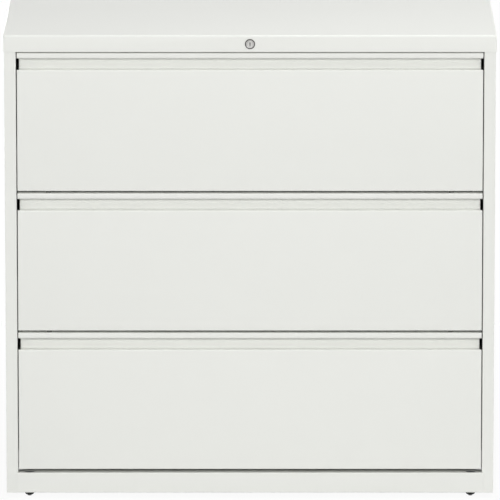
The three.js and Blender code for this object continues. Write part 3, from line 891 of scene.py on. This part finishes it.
@dataclass
class Lock:
    """The lock: a collar painted dark as shadow around a bright ring, and a plug with a keyway painted dark inside
    as shade.

    The face is given as (radius, depth) pairs, from the bore outwards.
    """

    palette: Palette
    bore: float = 7.3 * MM
    face: tuple[Pair, ...] = (
        (7.3 * MM, 0.9 * MM),
        (7.6 * MM, 0.45 * MM),
        (8.8 * MM, 0.3 * MM),
        (8.95 * MM, 0.9 * MM),
        (9.2 * MM, 0.9 * MM),
        (9.3 * MM, 0.25 * MM),
        (9.65 * MM, 0.0),
        (10.1 * MM, 0.05 * MM),
        (10.65 * MM, 0.45 * MM),
        (11 * MM, 1 * MM),
        (11 * MM, 1.3 * MM),
        (9.5 * MM, 1.3 * MM),
    )
    barrel: float = 9.5 * MM
    # Outside this radius the face is painted dark as the shadow ring around the lock.
    ring: float = 8.8 * MM
    plug: float = 7 * MM
    plug_edge: float = 0.5 * MM
    plug_tail: float = 3.3 * MM
    tail_half: float = 2.5 * MM
    keyway: Pair = (1 * MM, 4 * MM)
    keyway_depth: float = 14 * MM
    keyway_draft: float = 0.05 * MM

    def build(self) -> None:
        """Builds the housing and the plug around their axis."""
        self.build_housing()
        self.build_plug()

    def build_housing(self) -> None:
        """Builds the housing, with its collar in nickel darkened to paint the shadow ring around the lock."""
        lo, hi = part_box("lock_housing")
        centre = Vector((LOCK_CENTRE.x, 0.0, LOCK_CENTRE.z))
        outline = [(self.bore, hi.y), *((radius, lo.y + depth) for radius, depth in self.face),
                   (self.barrel, hi.y), (self.bore, hi.y)]
        form = Form()
        form.turn(outline, centre, Axis.Y)
        for face in form.bm.faces:
            middle = face.calc_center_median() - centre
            # Faces outside the bright ring take the nickel darkened as painted shadow.
            face.material_index = int(math.hypot(middle.x, middle.z) > self.ring)
        form.place("lock_bezel", "case", "nickel", [self.palette.nickel, self.palette.painted_shade_nickel], ["lock_housing"])

    def build_plug(self) -> None:
        """Builds the plug with its tail, and a keyway whose inside is painted dark as shade."""
        lo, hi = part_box("lock_plug")
        middle = box_middle("lock_plug")
        centre = Vector((middle.x, 0.0, middle.z))
        back = hi.y - self.plug_tail
        form = Form()
        form.turn([(self.plug - self.plug_edge, lo.y), (self.plug, lo.y + self.plug_edge), (self.plug, back),
                   (0.0, back)], centre, Axis.Y)
        bmesh.ops.holes_fill(form.bm, edges=[edge for edge in form.bm.edges if edge.is_boundary])
        bmesh.ops.recalc_face_normals(form.bm, faces=form.bm.faces[:])
        mouth = form.part_off(Vector((centre.x, lo.y, centre.z)), Axis.Y, self.keyway)
        walls = bmesh.ops.inset_individual(form.bm, faces=[mouth], thickness=self.keyway_draft,
                                           depth=-self.keyway_depth)["faces"]
        # The keyway's mouth and walls take the nickel darkened as painted shade.
        for face in [mouth, *walls]:
            face.material_index = 1
        half = Vector((self.tail_half, 0.0, self.tail_half))
        form.block(centre - half + Axis.Y.unit * back, centre + half + Axis.Y.unit * hi.y)
        form.place("lock_plug_turned", "lock_plug", "nickel", [self.palette.nickel, self.palette.painted_shade_nickel],
                   ["lock_plug"])


@dataclass
class Glide:
    """A levelling glide: a threaded stud in a nylon cup on a hard foot."""

    palette: Palette
    node: str
    stud: float = 4 * MM
    root: float = 3.45 * MM
    pitch: float = 1.25 * MM
    cup: float = 10.3 * MM
    cup_top: float = 8.1 * MM
    cup_foot: float = 4.9 * MM
    cup_edge: float = 0.3 * MM
    rim: float = 1.2 * MM
    foot: float = 4.5 * MM
    foot_top: float = 2.2 * MM
    foot_edge: float = 0.5 * MM
    socket: float = 2.1 * MM
    socket_depth: float = 2.4 * MM

    def outline(self, low: float, high: float) -> list[Pair]:
        """Lists the glide's outline from the middle of its foot to the bottom of its driver socket.

        Args:
            low: the level of the floor.
            high: the level of the stud's end.

        Returns:
            (radius, level) pairs.
        """
        cup_top = low + self.cup_top
        foot_top = low + self.foot_top
        dome = cup_top - self.rim - foot_top
        points = [(0.0, low), (self.foot - self.foot_edge, low), (self.foot, low + self.foot_edge),
                  (self.foot, foot_top)]
        for step in range(FOLD_STEPS + 1):
            angle = step / FOLD_STEPS * QUARTER_TURN
            points.append((self.cup_foot + (self.cup - self.cup_foot) * math.sin(angle),
                           foot_top + dome * (1 - math.cos(angle))))
        points += [(self.cup, cup_top - self.cup_edge), (self.cup - self.cup_edge, cup_top), (self.stud, cup_top)]
        level = cup_top + self.pitch
        while level + self.pitch < high:
            points += [(self.root, level), (self.stud, level + self.pitch / 2)]
            level += self.pitch
        bottom = high - self.socket_depth
        return points + [(self.root, high), (self.socket, high), (self.socket, bottom), (0.0, bottom)]

    def build(self) -> None:
        """Builds the glide around its own axis."""
        lo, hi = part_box(self.node)
        middle = box_middle(self.node)
        centre = Vector((middle.x, middle.y, 0.0))
        form = Form()
        form.turn(self.outline(lo.z, hi.z), centre, Axis.Z)
        for face in form.bm.faces:
            spot = face.calc_center_median() - centre
            if spot.z < lo.z + self.foot_top:
                face.material_index = 1
            elif math.hypot(spot.x, spot.y) < self.stud and spot.z > lo.z + self.cup_top:
                face.material_index = 2
        form.place(f"{self.node}_turned", self.node, "glide_nylon",
                   [self.palette.nylon, self.palette.foot, self.palette.zinc_upright], [self.node])


@dataclass(frozen=True)
class Fastener:
    """A domed head with a dimple in its middle, as on a blind rivet or a pan-head screw.

    Its outline is given as shares of its radius and height.
    """

    radius: float
    height: float
    steps: int = 20
    outline: tuple[Pair, ...] = (
        (0.0, 0.0), (1.0, 0.0), (0.97, 0.35), (0.8, 0.75), (0.5, 1.0), (0.38, 1.0), (0.32, 0.6), (0.0, 0.55))

    def set_in(self, form: Form, spot: Vector, axis: Axis, way: int) -> None:
        """Sets one head on a face.

        Args:
            form: the piece that the head belongs to.
            spot: the middle of the head's seat.
            axis: the direction that the head stands out in.
            way: 1 or -1 along that axis.
        """
        rise = self.height * way
        form.turn([(self.radius * across, rise * up) for across, up in self.outline], spot, axis, self.steps)


@dataclass
class BackPanel:
    """The back: one sheet with a raised field, riveted to the sides and to the rear base rail."""

    palette: Palette
    sheet: float = 1 * MM
    margin: float = 64 * MM
    corner: float = 30 * MM
    slope: float = 3 * MM
    rise: float = 1.2 * MM
    rivet: Fastener = Fastener(4.4 * MM, 1.2 * MM)
    rivet_edge: float = 12 * MM
    rivet_foot: float = 22 * MM
    rivet_top: float = 60 * MM
    side_rivets: int = 6
    foot_rivets: int = 5

    def build(self) -> None:
        """Builds the sheet and its rivets."""
        lo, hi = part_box("back_panel")
        form = Form()
        form.block(lo, hi)
        others = [face for face in form.bm.faces if face.normal.y < FACING]
        bmesh.ops.delete(form.bm, geom=others, context="FACES")
        middle = Vector(((lo.x + hi.x) / 2, hi.y, (lo.z + hi.z) / 2))
        bmesh.ops.inset_individual(form.bm, faces=form.bm.faces[:], thickness=self.margin)
        field = form.face_at(middle, Axis.Y)
        bmesh.ops.bevel(form.bm, geom=field.verts[:], offset=self.corner, offset_type="OFFSET",
                        segments=FOLD_STEPS, profile=0.5, affect="VERTICES", material=-1)
        field = form.face_at(middle, Axis.Y)
        bmesh.ops.inset_individual(form.bm, faces=[field], thickness=self.slope, depth=self.rise)
        form.thicken(self.sheet, Axis.Y.unit)
        form.place("back_panel_sheet", "case", "case_paint", [self.palette.case_paint], ["back_panel"])
        self.add_rivets(lo, hi)

    def add_rivets(self, lo: Vector, hi: Vector) -> None:
        """Sets the rivets along both sides and the foot.

        Args:
            lo: the panel's lowest corner.
            hi: its highest corner.
        """
        form = Form()
        foot = lo.z + self.rivet_foot
        rise = hi.z - self.rivet_top - foot
        for end in (lo.x + self.rivet_edge, hi.x - self.rivet_edge):
            for step in range(self.side_rivets):
                level = foot + rise * step / (self.side_rivets - 1)
                self.rivet.set_in(form, Vector((end, hi.y, level)), Axis.Y, 1)
        pitch = (hi.x - lo.x) / (self.foot_rivets + 1)
        for step in range(self.foot_rivets):
            self.rivet.set_in(form, Vector((lo.x + pitch * (step + 1), hi.y, foot)), Axis.Y, 1)
        form.place("back_panel_rivets", "case", "zinc", [self.palette.zinc_rail])


@dataclass
class SlideScrews:
    """The screws that hold a drawer's slides to its sides."""

    palette: Palette
    drawer: str
    screw: Fastener = Fastener(4.2 * MM, 2.2 * MM)
    web: float = 1.2 * MM
    places: tuple[float, ...] = (36 * MM, 200 * MM, 364 * MM)

    def build(self) -> None:
        """Sets the screws in both slides."""
        form = Form()
        for side, name in zip(SIDES, ("left", "right")):
            lo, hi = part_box(f"{self.drawer}_drawer_{name}_slide_drawer_member")
            web = min(lo.x, hi.x, key=abs) + side * self.web
            for place in self.places:
                self.screw.set_in(form, Vector((web, lo.y + place, (lo.z + hi.z) / 2)), Axis.X, side)
        form.place(f"{self.drawer}_drawer_slide_screws", f"{self.drawer}_drawer", "zinc", [self.palette.zinc_slide])


@dataclass(frozen=True)
class Lamp:
    """A soft rectangular lamp that points at the middle of the cabinet."""

    name: str
    power: float
    spot: Triple
    size: Pair

    def hang(self) -> None:
        """Adds the lamp to the scene."""
        light = bpy.data.lights.new(self.name, "AREA")
        light.energy = self.power
        light.shape = "RECTANGLE"
        light.size, light.size_y = self.size
        lamp = bpy.data.objects.new(self.name, light)
        bpy.context.scene.collection.objects.link(lamp)
        middle = (Vector(CAD_BOX[0]) + Vector(CAD_BOX[1])) / 2
        lamp.location = self.spot
        lamp.rotation_euler = (middle - Vector(self.spot)).to_track_quat("-Z", "Y").to_euler()
        lamp.visible_camera = False


@dataclass
class Studio:
    """White studio: pale floor, soft lamps all round and the photograph's viewing angle."""

    ambient: float = 0.15
    lamps: tuple[Lamp, ...] = (
        Lamp("front_left_lamp", 358.0, (-3.95, -10.0, 4.15), (4.2, 1.8)),
        Lamp("front_right_lamp", 337.0, (3.95, -10.0, 4.15), (4.2, 1.8)),
        Lamp("high_lamp", 150.0, (0.8, -9.0, 10.5), (10.0, 3.2)),
        Lamp("top_lamp", 112.0, (1.1, -0.4, 5.0), (4.0, 2.4)),
        Lamp("left_lamp", 115.0, (-6.6, 1.6, 0.6), (2.4, 1.0)),
        Lamp("right_lamp", 112.0, (6.6, 1.6, 0.6), (2.4, 1.0)),
        Lamp("back_lamp", 190.0, (-3.4, 6.4, 0.6), (3.0, 1.0)),
    )
    floor_radius: float = 12.0
    floor_drop: float = 0.5 * MM
    floor_colour: Triple = (0.74, 0.74, 0.74)
    floor_fade: Pair = (4.0, 11.0)
    floor_lift: float = 0.93
    floor_shade: Pair = (0.6, 1.7)
    dark_half: Pair = (0.53, 0.2)
    dark_centre: Pair = (0.0, 0.01)
    dark_edge: float = 0.94
    camera_distance: float = 16.0
    camera_height: float = 3.767
    camera_pitch: float = 11.37
    camera_lens: float = 541.3
    clip_end: float = 200.0

    def build(self) -> None:
        """Sets up the world, the floor, the lamps and the camera."""
        bpy.context.scene.view_settings.view_transform = "Standard"
        self.add_world()
        self.add_floor()
        for lamp in self.lamps:
            lamp.hang()
        self.add_camera()

    @staticmethod
    def seen(board: Board) -> Signal:
        """Tells rays that show the background from those that only light the object.

        Args:
            board: the node tree of the floor or the world.

        Returns:
            1 for the first, 0 for the others.
        """
        rays = [board.add("ShaderNodeLightPath", output=name)
                for name in ("Is Camera Ray", "Is Glossy Ray", "Is Transmission Ray")]
        return rays[0] | rays[1] | rays[2]

    def add_world(self) -> None:
        """A white background with a dimmer light of its own."""
        world = bpy.data.worlds.new("studio")
        world.use_nodes = True
        bpy.context.scene.world = world
        board = Board(world.node_tree)
        dim, white = [board.add("ShaderNodeBackground", None, {"Strength": strength, "Color": WHITE})
                      for strength in (self.ambient, 1.0)]
        board.close(board.mix(self.seen(board), dim, white), "ShaderNodeOutputWorld")

    def add_floor(self) -> None:
        """A pale floor that keeps the shadow and fades out far away."""
        form = Form()
        bmesh.ops.create_circle(form.bm, cap_ends=True, segments=TURN_STEPS, radius=self.floor_radius,
                                matrix=Matrix.Translation((0, 0, -self.floor_drop)))
        floor = form.release("floor")
        paint = bpy.data.materials.new("floor_paint")
        paint.use_nodes = True
        board = Board(paint.node_tree)
        matt = board.add("ShaderNodeBsdfDiffuse", None, {"Color": (*self.floor_colour, 1)})
        glow = board.add("ShaderNodeEmission", None, {"Color": WHITE, "Strength": 1.0})
        spot = board.spot()
        radius = board.add("ShaderNodeVectorMath", {"operation": "LENGTH"}, {0: spot}, "Value")
        near = board.ramp(radius, *self.floor_shade, self.floor_lift)
        lifted = board.mix(self.seen(board) * near * self.outside(board, spot), matt, glow)
        clear = board.add("ShaderNodeBsdfTransparent")
        board.close(board.mix(board.ramp(radius, *self.floor_fade), lifted, clear))
        floor.data.materials.append(paint)

    def outside(self, board: Board, spot: Signal) -> Signal:
        """Masks the floor well under the cabinet, where it is dark.

        Args:
            board: the floor's node tree.
            spot: the floor's coordinates.

        Returns:
            0 there, and 1 around it.
        """
        reach = []
        for axis, half, centre in zip((Axis.X, Axis.Y), self.dark_half, self.dark_centre):
            part = board.part(spot, axis) - centre
            reach.append((part | part * -1.0) * (1 / half))
        return board.ramp(reach[0] | reach[1], self.dark_edge, 1.0)

    def add_camera(self) -> None:
        """Sets the camera straight in front of the cabinet, looking down at it."""
        lens = bpy.data.cameras.new("photo_camera")
        lens.lens = self.camera_lens
        lens.clip_end = self.clip_end
        camera = bpy.data.objects.new("photo_camera", lens)
        bpy.context.scene.collection.objects.link(camera)
        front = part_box("top_cover")[0].y
        camera.location = (0.0, front - self.camera_distance, self.camera_height)
        camera.rotation_euler = (QUARTER_TURN - math.radians(self.camera_pitch), 0.0, 0.0)
        bpy.context.scene.camera = camera


def main() -> None:
    """Dresses the frame, builds the finer pieces and sets up the studio."""
    logging.basicConfig(level=logging.INFO, format="%(name)s: %(message)s")
    palette = Palette()
    palette.dress_frame()
    TopCover(palette).build()
    BackPanel(palette).build()
    for drawer in DRAWERS:
        DrawerFront(palette, drawer).build()
        DrawerTray(palette, drawer).build()
        SlideScrews(palette, drawer).build()
    Lock(palette).build()
    for end in ("front", "rear"):
        for side in ("left", "right"):
            Glide(palette, f"{end}_{side}_glide").build()
    Studio().build()


if __name__ == "__main__":
    main()
